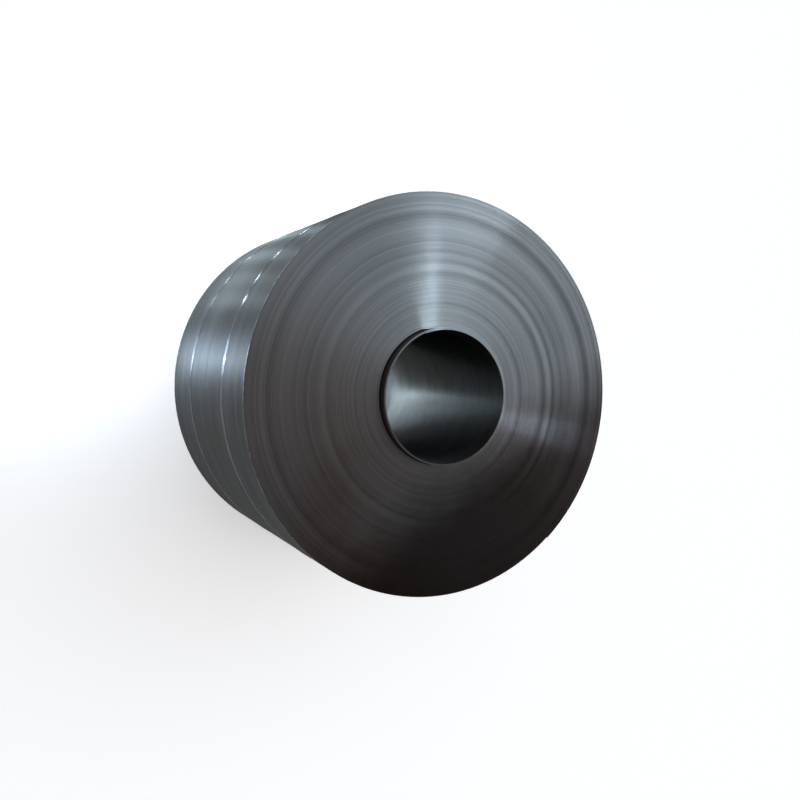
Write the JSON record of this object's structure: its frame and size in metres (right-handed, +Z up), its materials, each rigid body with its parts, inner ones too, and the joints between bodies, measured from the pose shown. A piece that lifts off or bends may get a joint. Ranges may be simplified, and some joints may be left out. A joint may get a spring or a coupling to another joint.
{
  "type": "steel coil",
  "caption": "Heavy coil of wound steel strip with a round bore, standing on its end and bound round its circumference by sealed steel straps.",
  "frame": {"origin": "on the bore's axis, on the plane that the coil stands on", "axes": "+Z up along the bore axis, towards the end with the raised inner turns; the strip's tail is at 50 degrees from +X towards -Y"},
  "size_m": [1.5455, 1.5439, 1.238],
  "materials": {
    "strip_steel": "dark rolled strip with a faint blue oxide and bright worn edges",
    "strap_steel": "waxed blued steel strapping"
  },
  "bodies": {
    "root": {"coil": "strip_steel", "strap_front": "strap_steel", "strap_rear": "strap_steel", "strap_seal_front": "strap_steel", "strap_seal_rear": "strap_steel"}
  },
  "joints": []
}
